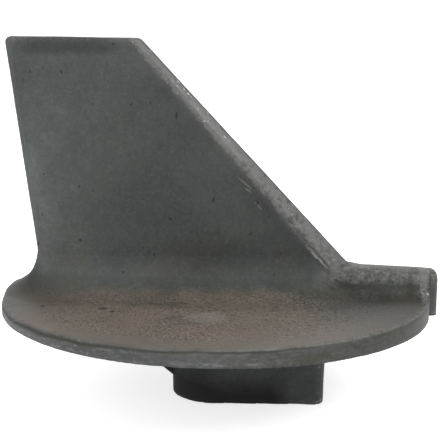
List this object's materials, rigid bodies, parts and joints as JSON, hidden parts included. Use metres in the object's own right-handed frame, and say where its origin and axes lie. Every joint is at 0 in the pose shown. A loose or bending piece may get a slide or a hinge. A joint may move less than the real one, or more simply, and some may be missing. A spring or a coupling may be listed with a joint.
{
  "type": "trim tab anode",
  "caption": "Sacrificial zinc anode cast in one piece: a swept fin on a round plate, with a locating arm at the rim and a tapped bolt boss beneath.",
  "frame": {"origin": "mouth of the bolt hole, in the middle of the boss's end face", "axes": "+Z along the bolt hole towards the fin, which stands up as in the picture; +X along the arm, towards the fin's leading edge; +Y to the side, so that the fin lies in the XZ plane"},
  "size_m": [0.0985, 0.0968, 0.0812],
  "materials": {
    "cast_zinc": "dull as-cast zinc with fine pits, and brighter worn edges"
  },
  "bodies": {
    "root": {"trim_tab_anode": "cast_zinc"}
  },
  "joints": []
}
